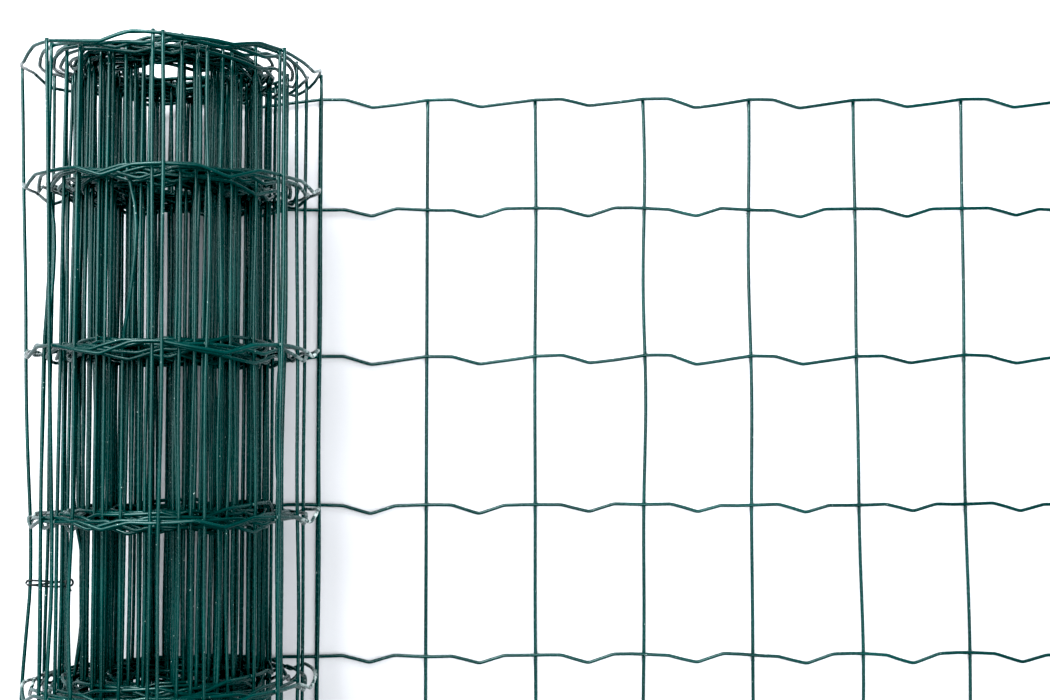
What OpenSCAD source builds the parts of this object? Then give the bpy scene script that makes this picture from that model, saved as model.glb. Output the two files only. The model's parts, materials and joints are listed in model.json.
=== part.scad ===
// Roll of welded wire fencing with its end unrolled: the wound roll lies on its side, the loose end
// lies flat on the floor in front of it, and a twist of tie wire holds the outer turns together.
// +X runs along the loose end, +Y along the roll towards the narrow row, and +Z up from the floor.
// The origin is under the middle of the first cross wire that lies flat in front of the roll.

/* [Wire mesh] */
// Diameter of the coated wire
wire_d = 2.2; // [1.8:0.1:3]
// Spacing of the cross wires along the fence
cross_pitch = 74.2; // [70:0.1:110]
// Spacing of the line wires
line_pitch = 101.6; // [60:0.1:150]
// Spacing of the two line wires at the narrow row
edge_pitch = 76.2; // [50:0.1:120]
// Number of full rows below the narrow row
full_rows = 7; // [4:1:10]
// Depth of the crimps in the line wires
crimp_depth = 5.3; // [2:0.1:9]
// Distance from a cross wire to the start of the next crimp
crimp_start = 17.7; // [10:0.1:20]
// Length of a crimp's falling side
crimp_fall = 18.6; // [10:0.1:22]
// Length of a crimp's rising side
crimp_rise = 16.8; // [10:0.1:22]
// Depth that a line wire sinks into a cross wire at a weld
weld_sink = 0.35; // [0.2:0.05:0.6]

/* [Wound roll] */
// Diameter of the open core inside the innermost turn
core_d = 52; // [40:1:80]
// Number of tight inner turns
tight_turns = 24; // [6:1:30]
// Radial spacing of the tight turns
tight_pitch = 1.5; // [1.2:0.1:4]
// Number of loose outer turns
loose_turns = 5; // [2:1:8]
// Radial spacing of the loose turns
loose_pitch = 6.2; // [5:0.1:9]
// Number of cross wires in each loose turn
turn_crosses = 8; // [6:2:12]

/* [Loose end] */
// Distance from the roll's axis to the first flat cross wire
first_cross = 80; // [60:1:120]
// Number of flat cross wires
flat_crosses = 9; // [3:1:14]
// Length of the cut wire ends past the last cross wire
cut_end = 11; // [3:1:30]
// Gap between the roll and the wires that run up to it
seat_gap = 0.2; // [0.1:0.1:0.5]

/* [Tie wire] */
// Diameter of the tie wire
tie_d = 1.3; // [1:0.1:1.8]
// Distance of the tie from the middle of the fence's width
tie_y = 71; // [55:1:75]
// Number of turns in the tie
tie_turns = 2; // [1:1:3]
// Spacing of those turns
tie_pitch = 2; // [1.9:0.1:3]
// Gap between the tie and the cross wires that it holds
tie_gap = 0.3; // [0.1:0.1:0.5]

/* [Hidden] */
mesh_green = [0.08, 0.34, 0.28];
tie_grey = [0.22, 0.23, 0.24];
wire_sides = 6;
tie_sides = 6;
arc_steps = 6;
round_fn = 96;
wire_r = wire_d / 2;
fence_w = edge_pitch + full_rows * line_pitch;
levels = concat([fence_w / 2], [for (i = [0 : full_rows]) fence_w / 2 - edge_pitch - i * line_pitch]);
line_z = wire_r + wire_d - weld_sink;
core_r = core_d / 2;
tight_r = core_r + tight_turns * tight_pitch;
roll_r = loose_r(loose_turns - 1);
roll_top = fence_w / 2 + wire_r;
roll_low = -fence_w / 2 - crimp_depth - wire_r;
turn_edge = wire_r / 2;
wire_corner = wire_r / cos(180 / wire_sides);
tie_loop_r = wire_corner + tie_gap + tie_d / 2;
tie_outer_x = bar_r(loose_turns - 1);
tie_inner_x = bar_r(0);

// Unit vector along v
function unit(v) = v / norm(v);

// Direction of a path at its point i
function heading(path, i) = unit(path[min(i + 1, len(path) - 1)] - path[max(i - 1, 0)]);

// Corners of a wire's section at a point of its path, with a flat side towards up
function section(centre, along, up, radius, sides) =
    let (side = unit(cross(along, up)), top = cross(side, along), corner = radius / cos(180 / sides))
    [for (k = [0 : sides - 1]) centre + corner * (cos(360 * k / sides) * side + sin(360 * k / sides) * top)];

// Outside of the line wires in a loose turn, counted from 0 at the tight turns
function loose_r(turn) = tight_r + (turn + 1) * loose_pitch;

// Middle of the cross wires in a loose turn, a little below the outside of its line wires
function bar_r(turn) = loose_r(turn) - weld_sink - wire_r;

// One end of the roll from its core outwards, as [radius, depth below the end]
function end_turns() = concat(
    [[core_r, wire_r]],
    [for (k = [0 : tight_turns - 1], p = tight_turn(core_r + k * tight_pitch)) p],
    [for (k = [0 : loose_turns - 1], p = loose_turn(k)) p]);

// A tight turn: a ridge with a groove outside it
function tight_turn(inner) = [[inner + tight_pitch / 2, 0], [inner + tight_pitch, wire_r]];

// A loose turn: an open gap, then one wire with broken edges
function loose_turn(turn) = let (outer = loose_r(turn)) [
    [turn == 0 ? tight_r : loose_r(turn - 1), wire_d],
    [outer - wire_d, wire_d],
    [outer - wire_d, turn_edge],
    [outer - wire_d + turn_edge, 0],
    [outer - turn_edge, 0],
    [outer, turn_edge]];

// The roll's side from top to bottom: the loose turns at each line wire, open to the tight turns between
function side_bands() = [for (i = [0 : len(levels) - 2], p = [
    [roll_r, levels[i] - crimp_depth - wire_r],
    [tight_r, levels[i] - crimp_depth - wire_r],
    [tight_r, levels[i + 1] + wire_r],
    [roll_r, levels[i + 1] + wire_r]]) p];

// Half section of the roll
function roll_section() = let (turns = end_turns(), last = len(turns) - 1) concat(
    [for (p = turns) [p[0], roll_top - p[1]]],
    side_bands(),
    [for (i = [last : -1 : 0]) [turns[i][0], roll_low + turns[i][1]]]);

// Route of a line wire in the loose end: straight out of the roll, then one crimp in each cell
line_route = concat(
    [[-first_cross, 0]],
    [for (c = [0 : flat_crosses - 2], p = crimp(c * cross_pitch + crimp_start)) p],
    [[(flat_crosses - 1) * cross_pitch + cut_end, 0]]);

// A crimp that starts at x
function crimp(x) = [[x, 0], [x + crimp_fall, -crimp_depth], [x + crimp_fall + crimp_rise, 0]];

// Sideways direction of the stretch of a flat route that starts at its point i
function sideways(route, i) = let (along = unit(route[i + 1] - route[i])) [-along[1], along[0]];

// Point at a distance beside point i of a flat route, mitred where the route bends
function beside(route, i, distance) = let (
    before = sideways(route, max(i - 1, 0)),
    after = sideways(route, min(i, len(route) - 2)))
    route[i] + distance * (before + after) / (1 + before * after);

// One turn of the tie round its loop, as points across the roll
function tie_loop() = concat(
    [for (k = [0 : arc_steps]) tie_arc(-tie_inner_x, 180 * k / arc_steps - 90)],
    [for (k = [0 : arc_steps]) tie_arc(-tie_outer_x, 180 * k / arc_steps + 90)]);

function tie_arc(x, angle) = [x + tie_loop_r * cos(angle), 0, tie_loop_r * sin(angle)];

// Route of the whole tie, each turn beside the last
function tie_route() = let (loop = tie_loop(), n = len(loop))
    [for (i = [0 : tie_turns * n]) loop[i % n] + [0, (i / n - tie_turns / 2) * tie_pitch, 0]];

// A wire swept along a path, closed at both ends
module swept_wire(path, radius, sides, up) {
    rings = [for (i = [0 : len(path) - 1]) section(path[i], heading(path, i), up, radius, sides)];
    walls = [for (i = [0 : len(path) - 2], k = [0 : sides - 1], f = let (
        a = i * sides + k,
        b = i * sides + (k + 1) % sides) [[a, a + sides, b], [b, a + sides, b + sides]]) f];
    start_cap = [for (k = [0 : sides - 1]) k];
    end_cap = [for (k = [sides - 1 : -1 : 0]) (len(path) - 1) * sides + k];
    polyhedron([for (ring = rings, p = ring) p], concat([start_cap], walls, [end_cap]));
}

// A line wire of the loose end, bent in the plane of the mesh
module line_wire() {
    last = len(line_route) - 1;
    translate([0, 0, line_z - wire_r]) linear_extrude(wire_d) polygon(concat(
        [for (i = [0 : last]) beside(line_route, i, wire_r)],
        [for (i = [last : -1 : 0]) beside(line_route, i, -wire_r)]));
}

// A straight cross wire along Y, lying on the floor on one of its flat sides
module cross_wire(length) {
    translate([0, 0, wire_r]) rotate([90, 0, 0])
        cylinder(r = wire_corner, h = length, center = true, $fn = wire_sides);
}

// Puts what is drawn round the roll's axis in its place on the floor
module on_roll_axis() {
    translate([-first_cross, 0, roll_r]) children();
}

// Cross wires of the loose turns, every other turn set half a space on
module loose_crosses() {
    space = 360 / turn_crosses;
    for (turn = [0 : loose_turns - 1], k = [0 : turn_crosses - 1])
        rotate([0, 90 + (k + (loose_turns - 1 - turn) % 2 / 2) * space, 0])
            translate([0, 0, -bar_r(turn) - wire_r]) cross_wire(fence_w);
}

module wound_roll() {
    color(mesh_green) on_roll_axis() {
        rotate([-90, 0, 0]) rotate_extrude($fn = round_fn) polygon(roll_section());
        loose_crosses();
    }
}

module loose_end() {
    color(mesh_green) difference() {
        union() {
            for (i = [0 : flat_crosses - 1]) translate([i * cross_pitch, 0, 0]) cross_wire(fence_w + wire_d);
            for (y = levels) translate([0, y, 0]) line_wire();
        }
        on_roll_axis() rotate([90, 0, 0])
            cylinder(r = roll_r + seat_gap, h = 2 * fence_w, center = true, $fn = round_fn);
    }
}

module tie_wire() {
    color(tie_grey) on_roll_axis() translate([0, tie_y, 0])
        swept_wire(tie_route(), tie_d / 2, tie_sides, [0, 1, 0]);
}

wound_roll();
loose_end();
tie_wire();
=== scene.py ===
"""Looks of a part-unrolled roll of green coated wire fencing that lies on a white floor."""
import json
import math
import bpy
import numpy as np
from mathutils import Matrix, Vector


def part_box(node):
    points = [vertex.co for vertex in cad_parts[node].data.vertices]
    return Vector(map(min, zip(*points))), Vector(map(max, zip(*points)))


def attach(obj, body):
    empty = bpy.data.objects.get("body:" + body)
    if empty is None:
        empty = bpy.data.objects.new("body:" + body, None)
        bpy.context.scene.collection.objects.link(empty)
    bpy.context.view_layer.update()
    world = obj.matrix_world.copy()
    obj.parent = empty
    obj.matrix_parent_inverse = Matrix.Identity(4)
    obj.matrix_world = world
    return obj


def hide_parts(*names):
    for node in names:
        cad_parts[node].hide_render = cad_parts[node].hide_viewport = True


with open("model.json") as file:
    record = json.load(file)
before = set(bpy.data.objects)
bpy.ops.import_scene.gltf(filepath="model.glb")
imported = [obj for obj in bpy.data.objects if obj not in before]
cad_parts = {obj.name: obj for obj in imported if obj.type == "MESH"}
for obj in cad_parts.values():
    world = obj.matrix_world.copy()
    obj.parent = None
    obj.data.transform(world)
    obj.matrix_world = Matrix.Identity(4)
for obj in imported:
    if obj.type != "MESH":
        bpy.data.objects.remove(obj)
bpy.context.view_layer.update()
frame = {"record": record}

# Sizes of the mesh, in metres
MM = 0.001
WIRE_R = 1.1 * MM
STEEL_R = 0.85 * MM
WELD_STEP = 1.85 * MM
WELD_SIZE = np.array([1.4, 1.4, 1.2]) * MM
FLAT_PITCH = 74.2 * MM
LOOSE_PITCH = 75.9 * MM
EDGE_PITCH = 76.2 * MM
LINE_PITCH = 101.6 * MM
FULL_ROWS = 7
FLAT_CROSSES = 9
CUT_END = 11 * MM
CRIMP_DEPTH = 5.3 * MM
CRIMP_START = 17.7 * MM
CRIMP_LOW = 36.3 * MM
CRIMP_END = 53.1 * MM
CRIMP_BEND = 1.5 * MM
BEND_SAMPLES = 7
# Levels whose crimps rise in one long slope to the next cross wire
GENTLE_LEVELS = (0, 2)
# Where along a cell its line wires have points, closely at the bends or coarsely
FINE_CELL = np.array([0, 8, 15.5, 17, 18.4, 20, 27, 34, 35.6, 37, 38.6, 45, 51, 52.4, 53.8, 55.2, 65]) * MM
COARSE_CELL = np.array([0, 10, 16.5, 19, 28, 35, 37.6, 45, 52, 54.4, 64]) * MM

FENCE_W = EDGE_PITCH + FULL_ROWS * LINE_PITCH
LEVELS = [FENCE_W / 2] + [FENCE_W / 2 - EDGE_PITCH - i * LINE_PITCH for i in range(FULL_ROWS + 1)]

# The roll's place comes from the frame, and its first cross wire lies on the floor close to the axis
MOUNTS = {m["name"]: m for m in frame["record"]["mounts"]}
AXIS_X, _, AXIS_Z = MOUNTS["core_bore"]["pos_m"]
FLAT_Z = WIRE_R + WELD_STEP
FIRST_WOUND = AXIS_X + 1.5 * MM

# Radius of the line wires in mm against the turns wound, from the outside in: turn n starts at the
# floor, passes the left side at n + 0.25, the top at n + 0.5 and the right side at n + 0.75
WINDING = [
    (0.0, (AXIS_Z - FLAT_Z) / MM), (0.26, 92), (0.39, 91.6), (0.53, 91.8), (0.66, 88.8), (0.79, 91.6),
    (1.0, 84), (1.25, 80.5), (1.5, 83), (1.75, 84), (2.0, 79), (2.25, 76.3), (2.5, 78), (2.75, 78),
    (3.0, 74), (3.25, 72.6), (3.5, 74), (3.75, 73.5), (4.25, 68.5), (4.75, 68), (5.3, 63), (29.0, 27)]
# Turn at which the tight turns start, turns in the outer piece of line wires, and steps in a turn
TIGHT_TURN = 5.0
OUTER_TURNS = 6.0
TURN_STEPS = 360
# Steps to each side over which the winding is smoothed
SMOOTH_STEPS = TURN_STEPS // 24
# How far the outermost turn leans in at the left, in mm against the place along the roll
LEFT_EDGE = [(-0.40, -4), (-0.1, -5), (0.006, -7), (0.072, -10), (0.108, -9.5), (0.211, -5.5), (0.394, 0)]
# The turn at which it leans, and how far from there the lean starts and is full
LEFT_TURN = 0.26
LEAN_FADE = (0.45, 0.15)
# Cross wires bent aside within a row: turn, place of the bend, push round the roll and outwards in mm
BOWS = [
    (5.47, 0.279, 9, 8), (2.26, 0.279, 0, -5), (1.37, 0.27, 5, 0), (3.71, 0.16, 0, -3),
    (2.42, 0.064, -3, 0), (4.39, 0.064, -2.5, 0), (7.21, 0.064, 0, -4.5), (8.22, 0.064, 0, -4.5),
    (9.24, 0.064, 0, -4.5), (10.28, 0.064, 0, -7)]

# Bends of the wound mesh round the roll, in and out, and along its axis: their sizes in mm at first,
# further in, and in the small kinks
SHIFT_SIZES = (0.3, 0.8, 0.3)
STAND_OFF_SIZES = (0.3, 0.7, 0.25)
SLIP_SIZES = (1.2, 2.4, 0.5)
# Turns over which the outermost turn passes into the next, and the loose turns into the tight ones
INNER_TURNS = (0.6, 1.6)
TIGHTENING = (3.5, 5.5)
# Length of mesh over which the bends set in where it leaves the floor
RISE_LENGTH = 60 * MM
# The turn inside which the cross wires are unevenly spaced, and by how much
UNEVEN_TURN = 1.2
UNEVEN_PITCH = 2 * MM

# Bends of the flat end: where along it they set in, and their sizes
FREE_ALONG = (0.05, 0.20)
FLAT_LIFT = 0.7 * MM
FLAT_SHIFT = 0.7 * MM
FLAT_SHIFT_KINK = 0.4 * MM
FLAT_SLIP = 0.6 * MM
FLAT_SLIP_KINK = 0.35 * MM
# How far its outer corner is drawn aside, and where that sets in along it and across it
CORNER_DROOP = -3.0 * MM
DROOP_ALONG = (0.42, 0.58)
DROOP_ACROSS = (0.2, -0.1)

# The tie: its wraps, the hook at its start, and its eye and cut end
TIE_LOW, TIE_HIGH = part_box("tie_wire")
TIE_R = 0.6 * MM
TIE_UP = 2.6 * MM
TIE_WRAPS = 1.5
TIE_STEPS = 26
TIE_SPREAD = -2.8 * MM
TIE_REACH = 21 * MM
TIE_GAP = 0.2 * MM
TIE_HOOK = np.array([-0.8, -1.8, 0.3]) * MM
TIE_CUT = np.array([1.4, -3.2, 0.3]) * MM
TIE_NORMAL = (0.13, 0.97, 0.2)
EYE_R = 2.2 * MM
EYE_STEPS = 14
EYE_CLIMB = 0.1 * MM
# How far above or below the axis the tied wires may lie
TIE_WINDOW = 30 * MM
# How square the ends of the wraps are, less than 1 for squarer, and how they wobble along the roll
TIE_SQUARE = 0.35
TIE_WOBBLE = 0.5 * MM
TIE_WOBBLE_RATE = 2.1

# Where the coating is scuffed and a whitish highlight is painted on: fading over these turns, clear of the
# floor, and at the left and right
WEAR_AND_HIGHLIGHT_TURNS = (2.4, 0.8)
WEAR_AND_HIGHLIGHT_START = (0.0, 0.1)
WEAR_AND_HIGHLIGHT_SIDE = (0.93, 0.99)
# How much of the scuffing and painted highlight the top level keeps, and how scuffed the welds are
TOP_WEAR_AND_HIGHLIGHT = 0.3
WELD_WEAR = 0.2

WIRE_SIDES = 8
CROSS_POINTS = 56
# How far the steel of a cut end stands out at its edge and its middle, as shares of the wire's radius
END_EDGE = 0.1
END_MIDDLE = 0.15
FLOOR_SIZE = 12
FLOOR_PLACE = (0.1, 0.0, 0.0)
# Chance in the bends of the wires and in the spacing of the wound cross wires
RNG = np.random.default_rng(41)
UNEVEN = np.random.default_rng(52)


def between(value, start, end):
    """Goes from 0 to 1 as a value goes from start to end, level at both ends."""
    t = np.clip((value - start) / (end - start), 0, 1)
    return t * t * (3 - 2 * t)


def wind_up():
    """Angle, radius and wound length along the roll, from where the mesh leaves the floor inwards."""
    turns, radii = np.array(WINDING).T
    turn = np.arange(0, turns[-1], 1 / TURN_STEPS)
    radius = np.interp(turn, turns, radii * MM)
    window = 2 * SMOOTH_STEPS + 1
    padded = np.pad(radius, SMOOTH_STEPS, mode="edge")
    radius = np.convolve(padded, np.ones(window) / window, mode="valid")
    angle = turn * 2 * math.pi
    steps = radius[1:] * np.diff(angle)
    return angle, radius, np.concatenate([[0], np.cumsum(steps)])


ANGLE, RADIUS, LENGTH = wind_up()
ROLL_S = AXIS_X
WOUND_END = ROLL_S - LENGTH[-1]


class Waves:
    """A smooth random field over the unrolled mesh, about 1 in size."""

    def __init__(self, count, along, across):
        self.k_s = 2 * math.pi / RNG.uniform(*along, count) * RNG.choice([-1, 1], count)
        self.k_y = 2 * math.pi / RNG.uniform(*across, count)
        self.phase = RNG.uniform(0, 2 * math.pi, count)
        self.scale = math.sqrt(2 / count)

    def at(self, s, y):
        s = np.asarray(s, float)[..., None]
        y = np.asarray(y, float)[..., None]
        return self.scale * np.sin(self.k_s * s + self.k_y * y + self.phase).sum(-1)


# Each kind of bend: how many waves it has, and their shortest and longest along and across the mesh
STAND_OFF = Waves(9, (0.12, 0.5), (0.4, 1.5))
SHIFT = Waves(9, (0.15, 0.6), (0.5, 2.0))
SLIP = Waves(7, (0.25, 1.1), (2.0, 6.0))
KINK = Waves(8, (0.05, 0.12), (0.12, 0.3))
LIFT = Waves(6, (0.25, 0.6), (0.4, 0.9))


def uneven(wave, sizes, further, s, y):
    """Bends of the wound mesh that pass from their first size to their second as further goes to 1."""
    first, second, kinks = sizes
    return MM * ((first + (second - first) * further) * wave.at(s, y) + kinks * KINK.at(s, y))


def on_roll(s, y, out):
    """Places and outward normals of points of the mesh that are wound up."""
    wound = np.clip(ROLL_S - s, 0, LENGTH[-1])
    angle = np.interp(wound, LENGTH, ANGLE)
    radius = np.interp(wound, LENGTH, RADIUS)
    turn = angle / (2 * math.pi)
    rise = between(wound, 0, RISE_LENGTH)
    inner = between(turn, *INNER_TURNS)
    shift = rise * uneven(SHIFT, SHIFT_SIZES, inner, s, y)
    stand_off = rise * uneven(STAND_OFF, STAND_OFF_SIZES, inner, s, y)
    slip = rise * uneven(SLIP, SLIP_SIZES, between(turn, *TIGHTENING), s, y)
    lean = between(np.abs(turn - LEFT_TURN), *LEAN_FADE) * np.interp(y, *np.array(LEFT_EDGE).T) * MM
    bearing = angle + shift / radius
    reach = radius + stand_off + lean + out
    places = np.stack([AXIS_X - reach * np.sin(bearing), y + slip, AXIS_Z - reach * np.cos(bearing)], -1)
    return places, np.stack([-np.sin(bearing), np.zeros_like(s), -np.cos(bearing)], -1)


def on_floor(s, y, out):
    """Places and outward normals of points of the mesh that lie flat, wavy from handling."""
    free = between(s, *FREE_ALONG)
    kink = KINK.at(s, y)
    lift = free * FLAT_LIFT * np.maximum(LIFT.at(s, y), 0)
    droop = CORNER_DROOP * between(s, *DROOP_ALONG) * between(y, *DROOP_ACROSS)
    flat_x = s + free * (FLAT_SHIFT * SHIFT.at(s, y) + FLAT_SHIFT_KINK * kink)
    flat_y = y + free * FLAT_SLIP * SLIP.at(s, y) + FLAT_SLIP_KINK * kink + droop
    places = np.stack([flat_x, flat_y, FLAT_Z - out + lift], -1)
    return places, np.broadcast_to([0.0, 0.0, -1.0], places.shape)


def on_fence(s, y, out):
    """Places and outward normals of points of the mesh: s along it, y across it, out from its line wires."""
    s, y, out = np.broadcast_arrays(np.asarray(s, float), np.asarray(y, float), np.asarray(out, float))
    rolled, rolled_out = on_roll(s, y, out)
    flat, flat_out = on_floor(s, y, out)
    is_flat = (s > ROLL_S)[..., None]
    return np.where(is_flat, flat, rolled), np.where(is_flat, flat_out, rolled_out)


def turn_of(s):
    """Turns wound at s, 0 on the flat."""
    wound = np.clip(ROLL_S - np.asarray(s, float), 0, LENGTH[-1])
    return np.interp(wound, LENGTH, ANGLE) / (2 * math.pi)


def wound_places():
    """Places of the wound cross wires from the floor inwards, uneven inside the outermost turn."""
    places = [FIRST_WOUND]
    while places[-1] > WOUND_END + LOOSE_PITCH:
        pitch = LOOSE_PITCH if turn_of(places[-1]) < TIGHT_TURN else FLAT_PITCH
        places.append(places[-1] - pitch)
    places = np.array(places)
    inside = turn_of(places[1:]) > UNEVEN_TURN
    places[1:] -= np.where(inside, UNEVEN.normal(0, UNEVEN_PITCH, len(places) - 1), 0)
    return places


FLAT_PLACES = np.arange(FLAT_CROSSES - 1, -1, -1) * FLAT_PITCH
WOUND_PLACES = wound_places()


def crimp_drop(u, gentle):
    """How far a line wire dips at distance u past a cross wire, with its bends rounded."""
    ends = [0, CRIMP_START, CRIMP_LOW, FLAT_PITCH if gentle else CRIMP_END, FLAT_PITCH]
    drops = [0, 0, CRIMP_DEPTH, 0, 0]
    around = np.linspace(-CRIMP_BEND, CRIMP_BEND, BEND_SAMPLES)
    return np.mean([np.interp(np.clip(u + d, 0, FLAT_PITCH), ends, drops) for d in around], axis=0)


class Tubes:
    """Collects closed round wires and welds as one mesh."""

    def __init__(self):
        self.points, self.faces, self.slots, self.wear_and_highlight = [], [], [], []
        self.count = 0

    def add(self, points, wear_and_highlight, faces, slots):
        """Takes in a closed shape; slots holds one material number for each face."""
        self.points.append(points)
        self.faces.extend([tuple(int(i) + self.count for i in face) for face in faces])
        self.slots.extend(slots)
        self.wear_and_highlight.append(np.broadcast_to(wear_and_highlight, len(points)))
        self.count += len(points)

    def wire(self, path, normals, radius=WIRE_R, wear_and_highlight=0.0, steel=STEEL_R, sides=WIRE_SIDES):
        """A wire along a path, with its steel core showing on its cut ends."""
        along = np.gradient(path, axis=0)
        along /= np.linalg.norm(along, axis=1, keepdims=True)
        beside = np.cross(along, normals)
        beside /= np.linalg.norm(beside, axis=1, keepdims=True)
        above = np.cross(beside, along)
        turn = np.arange(sides) * 2 * math.pi / sides
        spokes = np.cos(turn)[None, :, None] * above[:, None] + np.sin(turn)[None, :, None] * beside[:, None]
        n = len(path)
        k = np.arange(sides)
        k_next = (k + 1) % sides
        first = np.arange(n - 1)[:, None] * sides
        walls = np.stack([first + k, first + k_next, first + sides + k_next, first + sides + k], -1)
        points = [(path[:, None] + radius * spokes).reshape(-1, 3)]
        faces = walls.reshape(-1, 4).tolist()
        slots = [0] * len(faces)
        for i, ring, out in ((0, 0, -along[0]), (n - 1, (n - 1) * sides, along[-1])):
            inner = n * sides + (0 if i == 0 else sides + 1)
            points.append(path[i] + steel * spokes[i] + END_EDGE * radius * out)
            points.append([path[i] + END_MIDDLE * radius * out])
            collar = np.stack([ring + k, ring + k_next, inner + k_next, inner + k], -1).tolist()
            disc = np.stack([inner + k, inner + k_next, np.full(sides, inner + sides)], -1).tolist()
            ends = collar + disc
            faces += [face[::-1] for face in ends] if i == 0 else ends
            slots += [0] * sides + [1] * sides
        worn_and_highlighted = np.concatenate([np.repeat(np.broadcast_to(wear_and_highlight, n), sides), np.zeros(2 * sides + 2)])
        self.add(np.concatenate(points), worn_and_highlighted, faces, slots)

    def weld(self, centre, along, up, size=WELD_SIZE, rings=4, sides=8):
        """A rounded bead of coating where two wires are welded."""
        across = np.cross(up, along)
        tilts = np.arange(1, rings) * math.pi / rings
        turns = np.arange(sides) * 2 * math.pi / sides
        flat = np.cos(turns)[:, None] * along * size[0] + np.sin(turns)[:, None] * across * size[1]
        shells = [centre + up * size[2] * math.cos(t) + flat * math.sin(t) for t in tilts]
        points = np.concatenate([[centre + up * size[2]]] + shells + [[centre - up * size[2]]])
        last = len(points) - 1
        faces = []
        for j in range(sides):
            k = (j + 1) % sides
            faces += [(0, 1 + j, 1 + k), (last, last - sides + k, last - sides + j)]
            for a in range(1, last - sides, sides):
                faces.append((a + j, a + sides + j, a + sides + k, a + k))
        self.add(points, WELD_WEAR, faces, [0] * len(faces))

    def build(self, name, materials):
        """Makes the mesh object, smooth-shaded, with its wear and painted highlight as a point attribute."""
        mesh = bpy.data.meshes.new(name)
        mesh.from_pydata(np.concatenate(self.points).tolist(), [], self.faces)
        mesh.polygons.foreach_set("material_index", self.slots)
        mesh.polygons.foreach_set("use_smooth", [True] * len(mesh.polygons))
        layer = mesh.attributes.new("wear_and_highlight", "FLOAT", "POINT")
        layer.data.foreach_set("value", np.concatenate(self.wear_and_highlight).astype(np.float32))
        for material in materials:
            mesh.materials.append(material)
        obj = bpy.data.objects.new(name, mesh)
        bpy.context.collection.objects.link(obj)
        return obj


def line_wear_and_highlight(s, level):
    """Scuffing of the coating, with a painted highlight, on the left and right bends of the loose turns,
    weaker at the top level.
    """
    turn = turn_of(s)
    outer = between(turn, *WEAR_AND_HIGHLIGHT_TURNS) * between(turn, *WEAR_AND_HIGHLIGHT_START)
    side = np.abs(np.sin(turn * 2 * math.pi))
    # The left and right sides of the roll, seen from above, get scuffs and a painted whitish highlight
    return outer * between(side, *WEAR_AND_HIGHLIGHT_SIDE) * (1 if level else TOP_WEAR_AND_HIGHLIGHT)


def add_line_wire(tubes, level, places, cell, start=0.0, end=0.0):
    """A line wire along the given cross wires, from the core outwards, with free ends of given lengths."""
    order = places[::-1]
    drop = crimp_drop(cell, level in GENTLE_LEVELS)
    s = [a + cell / FLAT_PITCH * (b - a) for a, b in zip(order[:-1], order[1:])] + [order[-1:]]
    y = [LEVELS[level] - drop for _ in order[1:]] + [LEVELS[level:level + 1]]
    if start:
        s.insert(0, order[:1] - start)
        y.insert(0, LEVELS[level:level + 1])
    if end:
        s.append(order[-1:] + end)
        y.append(LEVELS[level:level + 1])
    s, y = np.concatenate(s), np.concatenate(y)
    path, normals = on_fence(s, y, 0.0)
    tubes.wire(path, normals, wear_and_highlight=line_wear_and_highlight(s, level))


def bow_of(place, y):
    """How far the cross wire at a place is bent round the roll and outwards, along y."""
    push = np.zeros((2, len(y)))
    for turn, peak, *pushes in BOWS:
        nearest = WOUND_PLACES[np.argmin(np.abs(turn_of(WOUND_PLACES) - turn))]
        if place == nearest:
            above = min(level for level in LEVELS if level > peak)
            below = max(level for level in LEVELS if level < peak)
            bend = np.interp(y, [below, peak, above], [0, 1, 0])
            push += np.outer(pushes, bend * (2 - bend) * MM)
    return push


def add_cross_wire(tubes, place):
    """One cross wire with its welds."""
    y = np.linspace(-FENCE_W / 2 - WIRE_R, FENCE_W / 2 + WIRE_R, CROSS_POINTS)
    turned, outwards = bow_of(place, y)
    path, normals = on_fence(place - turned, y, WELD_STEP + outwards)
    tubes.wire(path, normals)
    for level in LEVELS:
        spot, normal = on_fence(np.array([place, place + MM]), level, WELD_STEP / 2)
        along = spot[1] - spot[0]
        along /= np.linalg.norm(along)
        up = normal[0] - along * np.dot(normal[0], along)
        tubes.weld(spot[0], along, up / np.linalg.norm(up))


def tied_wires():
    """Places of the outermost and the innermost cross wire that the tie holds, at the left of the roll."""
    centre_y = (TIE_LOW[1] + TIE_HIGH[1]) / 2 + TIE_UP
    wires = [on_fence(s, centre_y, WELD_STEP)[0] for s in WOUND_PLACES]
    wires = [w for w in wires if abs(w[2] - AXIS_Z) < TIE_WINDOW and w[0] < AXIS_X]
    outer = min(wires, key=lambda w: w[0])
    inner = max((w for w in wires if w[0] < outer[0] + TIE_REACH), key=lambda w: w[0])
    return outer, inner


def tie_path():
    """From a hook, wraps round the outer cross wires, then an eye and a cut end."""
    outer, inner = tied_wires()
    gap = WIRE_R + TIE_R + TIE_GAP
    axis = (inner - outer) * [1, 0, 1]
    span = np.linalg.norm(axis)
    axis = axis / span
    side = np.array([-axis[2], 0, axis[0]])
    points = []
    for i in range(int(TIE_WRAPS * TIE_STEPS) + 1):
        t = i / TIE_STEPS
        a = 2 * math.pi * t
        reach = 0.5 - 0.5 * math.cos(a)
        over = math.copysign(abs(math.sin(a)) ** TIE_SQUARE, math.sin(a))
        along_y = (t - TIE_WRAPS / 2) * TIE_SPREAD + TIE_WOBBLE * math.sin(TIE_WOBBLE_RATE * a)
        points.append(outer + axis * (reach * (span + 2 * gap) - gap) + side * gap * over + [0, along_y, 0])
    foot = points[-1] + [gap / 2, 0, 2 * gap]
    for k in range(EYE_STEPS + 1):
        a = 2 * math.pi * k / EYE_STEPS
        points.append(foot + [EYE_R * math.sin(a), EYE_R * (1 - math.cos(a)), EYE_CLIMB * k])
    return np.array([points[0] + TIE_HOOK, *points, points[-1] + TIE_CUT])


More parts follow.
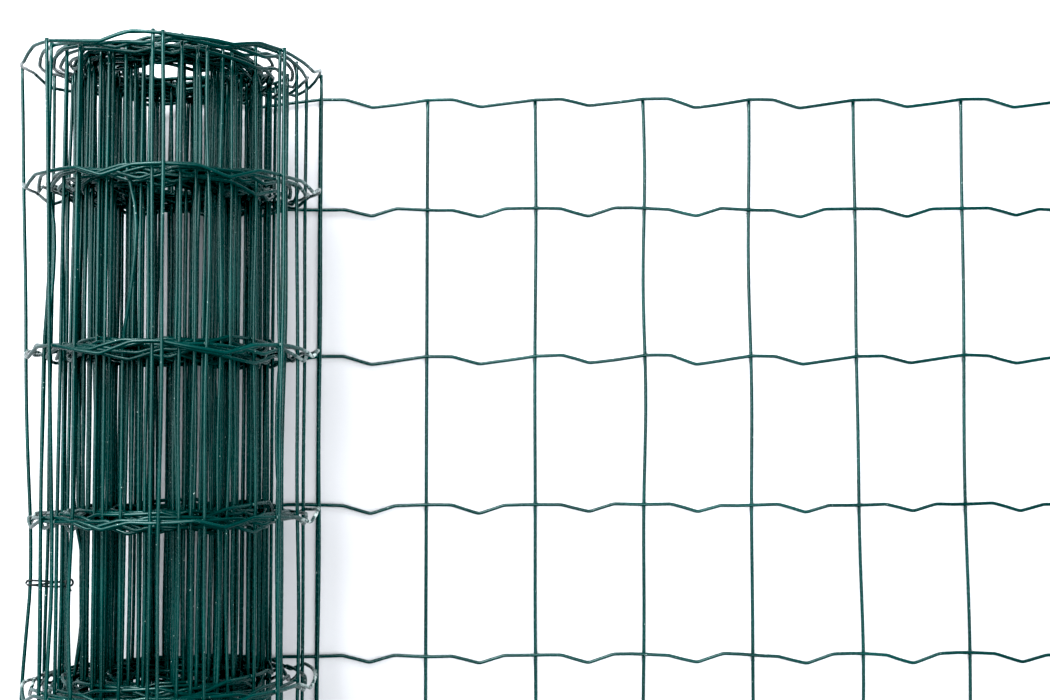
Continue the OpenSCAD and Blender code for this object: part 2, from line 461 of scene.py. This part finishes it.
def rounded(points, rounds=2):
    """Corner cutting, so that a coarse path runs smoothly."""
    for _ in range(rounds):
        near = 0.75 * points[:-1] + 0.25 * points[1:]
        far = 0.25 * points[:-1] + 0.75 * points[1:]
        middle = np.stack([near, far], 1).reshape(-1, 3)
        points = np.concatenate([points[:1], middle, points[-1:]])
    return points


def node(tree, kind, **inputs):
    """A shader node with some of its inputs set by name."""
    made = tree.nodes.new(kind)
    for name, value in inputs.items():
        made.inputs[name.replace("_", " ")].default_value = value
    return made


def grey(value):
    return (value, value, value)


def ramp(tree, source, stops):
    """A colour ramp fed by a socket, with stops as position and colour."""
    made = tree.nodes.new("ShaderNodeValToRGB")
    tree.links.new(source, made.inputs["Fac"])
    elements = made.color_ramp.elements
    while len(elements) < len(stops):
        elements.new(0.5)
    for element, (place, colour) in zip(elements, stops):
        element.position = place
        element.color = (*colour, 1)
    return made.outputs["Color"]


def mix(tree, factor, first, second):
    """A colour mix of two sockets or colours."""
    made = tree.nodes.new("ShaderNodeMix")
    made.data_type = "RGBA"
    for socket, value in ((made.inputs[0], factor), (made.inputs[6], first), (made.inputs[7], second)):
        if isinstance(value, bpy.types.NodeSocket):
            tree.links.new(value, socket)
        elif socket.type == "RGBA":
            socket.default_value = (*value, 1)
        else:
            socket.default_value = value
    return made.outputs[2]


def maths(tree, kind, first, second):
    """A maths node on two sockets or numbers."""
    made = tree.nodes.new("ShaderNodeMath")
    made.operation = kind
    made.use_clamp = True
    for socket, value in zip(made.inputs, (first, second)):
        if isinstance(value, bpy.types.NodeSocket):
            tree.links.new(value, socket)
        else:
            socket.default_value = value
    return made.outputs[0]


def noise(tree, coords, scale, detail=3.0):
    made = node(tree, "ShaderNodeTexNoise", Scale=scale, Detail=detail)
    tree.links.new(coords, made.inputs["Vector"])
    return made.outputs["Fac"]


def start_material(name):
    """A new material with its shader and object coordinates."""
    material = bpy.data.materials.new(name)
    material.use_nodes = True
    tree = material.node_tree
    shader = tree.nodes["Principled BSDF"]
    coords = tree.nodes.new("ShaderNodeTexCoord").outputs["Object"]
    return material, tree, shader, coords


def bump(tree, shader, height, strength, distance):
    made = node(tree, "ShaderNodeBump", Strength=strength, Distance=distance)
    tree.links.new(height, made.inputs["Height"])
    tree.links.new(made.outputs["Normal"], shader.inputs["Normal"])


def coating():
    """Glossy dark green plastic with a mottled skin, rubbed bends that carry a painted whitish highlight,
    and specks of dust.
    """
    material, tree, shader, coords = start_material("green_coating")
    broad = noise(tree, coords, 22.0)
    fine = noise(tree, coords, 420.0, 4.0)
    dark, middle, light = (0.000, 0.019, 0.017), (0.001, 0.032, 0.029), (0.002, 0.047, 0.042)
    # The chalky white stands for scuffed coating and for a painted highlight on the roll's left and right
    # bends
    chalky_wear_and_highlight, dust = (0.62, 0.70, 0.69), (0.55, 0.62, 0.60)
    green = ramp(tree, broad, [(0.3, dark), (0.55, middle), (0.75, light)])
    mottled = mix(tree, maths(tree, "MULTIPLY", fine, 0.25), green, dark)
    wear_and_highlight = tree.nodes.new("ShaderNodeAttribute")
    wear_and_highlight.attribute_name = "wear_and_highlight"
    patches = ramp(tree, noise(tree, coords, 260.0, 5.0), [(0.46, grey(0)), (0.60, grey(1))])
    rubbed_and_highlight = maths(tree, "MULTIPLY", wear_and_highlight.outputs["Fac"], patches)
    # Mixes in the chalky white: scuffs together with a painted highlight where the wear attribute is set
    worn_and_highlighted = mix(tree, maths(tree, "MULTIPLY", rubbed_and_highlight, 0.7), mottled, chalky_wear_and_highlight)
    cells = node(tree, "ShaderNodeTexVoronoi", Scale=520.0)
    tree.links.new(coords, cells.inputs["Vector"])
    specks = ramp(tree, cells.outputs["Distance"], [(0.10, grey(1)), (0.16, grey(0))])
    dusty = ramp(tree, noise(tree, coords, 140.0), [(0.60, grey(0)), (0.68, grey(1))])
    speckled = mix(tree, maths(tree, "MULTIPLY", specks, dusty), worn_and_highlighted, dust)
    tree.links.new(speckled, shader.inputs["Base Color"])
    rough = ramp(tree, fine, [(0.3, grey(0.22)), (0.7, grey(0.30))])
    roughness = maths(tree, "ADD", rough, maths(tree, "MULTIPLY", rubbed_and_highlight, 0.25))
    tree.links.new(roughness, shader.inputs["Roughness"])
    shader.inputs["Specular IOR Level"].default_value = 0.5
    shader.inputs["Specular Tint"].default_value = (0.82, 1.0, 1.0, 1)
    bump(tree, shader, noise(tree, coords, 300.0, 3.0), 0.04, 0.0002)
    return material


def bare_steel(name, dark, light, rough):
    """Plain steel with fine drawn streaks."""
    material, tree, shader, coords = start_material(name)
    streaks = noise(tree, coords, 900.0, 5.0)
    tree.links.new(ramp(tree, streaks, [(0.3, dark), (0.7, light)]), shader.inputs["Base Color"])
    roughness = ramp(tree, streaks, [(0.3, grey(rough)), (0.7, grey(rough + 0.2))])
    tree.links.new(roughness, shader.inputs["Roughness"])
    shader.inputs["Metallic"].default_value = 0.8
    bump(tree, shader, streaks, 0.2, 0.0001)
    return material


def white_floor():
    """Matt and pale with a trace of unevenness, which the lights take to white round the part."""
    material, tree, shader, coords = start_material("white_floor")
    darker, paler = (0.50, 0.51, 0.53), (0.52, 0.53, 0.55)
    pale = ramp(tree, noise(tree, coords, 3.0), [(0.3, darker), (0.7, paler)])
    tree.links.new(pale, shader.inputs["Base Color"])
    shader.inputs["Roughness"].default_value = 0.8
    shader.inputs["Specular IOR Level"].default_value = 0.1
    return material


def finish_piece(tubes, name, materials, slot, *nodes):
    """Builds a piece, puts it on the part and hides the parts that it replaces."""
    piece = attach(tubes.build(name, materials), "root")
    if nodes:
        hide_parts(*nodes)


def make_mesh():
    """All wires of the fence: the flat end, the loose outer turns and the tight inner turns."""
    wires = [coating(), bare_steel("cut_steel", (0.25, 0.26, 0.26), (0.5, 0.5, 0.5), 0.35)]
    flat_lines, outer_lines, inner_lines = Tubes(), Tubes(), Tubes()
    flat_crosses, roll_crosses = Tubes(), Tubes()
    split = int(np.searchsorted(turn_of(WOUND_PLACES), OUTER_TURNS))
    flat = np.append(FLAT_PLACES, FIRST_WOUND)
    for level in range(len(LEVELS)):
        add_line_wire(flat_lines, level, flat, FINE_CELL, end=CUT_END)
        add_line_wire(outer_lines, level, WOUND_PLACES[:split + 1], FINE_CELL)
        add_line_wire(inner_lines, level, WOUND_PLACES[split:], COARSE_CELL, start=CUT_END)
    for place in FLAT_PLACES:
        add_cross_wire(flat_crosses, place)
    for place in WOUND_PLACES:
        add_cross_wire(roll_crosses, place)
    finish_piece(outer_lines, "outer_line_wires", wires, "coated_wire", "wound_roll")
    finish_piece(inner_lines, "inner_line_wires", wires, "coated_wire")
    finish_piece(roll_crosses, "wound_cross_wires", wires, "coated_wire")
    finish_piece(flat_lines, "loose_line_wires", wires, "coated_wire", "loose_end")
    finish_piece(flat_crosses, "loose_cross_wires", wires, "coated_wire")


def make_tie():
    """The thin wire that holds the outer turns."""
    path = rounded(tie_path())
    tubes = Tubes()
    tubes.wire(path, np.broadcast_to(TIE_NORMAL, path.shape), radius=TIE_R, steel=TIE_R / 2)
    steel = bare_steel("tie_steel", (0.010, 0.014, 0.014), (0.05, 0.058, 0.058), 0.35)
    finish_piece(tubes, "tie_wire_wraps", [steel, steel], "tie_wire", "tie_wire")


def make_floor():
    """A wide plane under the part."""
    bpy.ops.mesh.primitive_plane_add(size=FLOOR_SIZE, location=FLOOR_PLACE)
    floor = bpy.context.object
    floor.name = "floor"
    floor.data.materials.append(white_floor())


def area_light(name, place, aim, size, power, glints=True):
    """A soft rectangular light that points at a place, with or without glints on glossy things."""
    lamp = bpy.data.lights.new(name, "AREA")
    lamp.shape = "RECTANGLE"
    lamp.size, lamp.size_y = size
    lamp.energy = power
    obj = bpy.data.objects.new(name, lamp)
    bpy.context.collection.objects.link(obj)
    obj.location = place
    direction = Vector(aim) - Vector(place)
    obj.rotation_euler = direction.to_track_quat("-Z", "Y").to_euler()
    obj.visible_glossy = glints


def white_room():
    """A cool white all round."""
    world = bpy.data.worlds.new("white_room")
    bpy.context.scene.world = world
    world.use_nodes = True
    background = world.node_tree.nodes["Background"]
    background.inputs["Color"].default_value = (0.93, 0.95, 1.0, 1)
    background.inputs["Strength"].default_value = 0.5


def make_light():
    """Soft lights above the roll's left, the loose end and the far end, and a fill at the right."""
    area_light("above_left", (-0.85, 0.8, 1.4), aim=(-0.05, 0.3, 0.1), size=(1.3, 1.8), power=68)
    area_light("above_right", (1.3, -0.1, 1.3), aim=(0.3, 0.1, 0.0), size=(1.4, 2.0), power=42, glints=False)
    area_light("above_tail", (0.45, 0.25, 2.2), aim=(0.45, 0.25, 0.0), size=(0.5, 2.4), power=24)
    area_light("far", (-0.4, 1.7, 1.2), aim=(-0.1, 0.1, 0.1), size=(1.0, 0.6), power=50)
    white_room()
    view = bpy.context.scene.view_settings
    view.view_transform = "Standard"
    view.gamma = 0.82
    view.use_curve_mapping = True
    view.curve_mapping.black_level = (0.024, 0.017, 0.017)
    view.curve_mapping.update()


def make_camera():
    """Looks straight down on the floor, leaning a little towards the far end."""
    camera = bpy.data.cameras.new("camera")
    camera.sensor_width = 36
    camera.lens = 50.74
    obj = bpy.data.objects.new("camera", camera)
    bpy.context.collection.objects.link(obj)
    obj.location = (0.1347, 0.1683, 1.0175)
    obj.rotation_euler = (math.radians(2.945), math.radians(-0.396), 0)
    bpy.context.scene.camera = obj


make_camera()
make_mesh()
make_tie()
make_floor()
make_light()
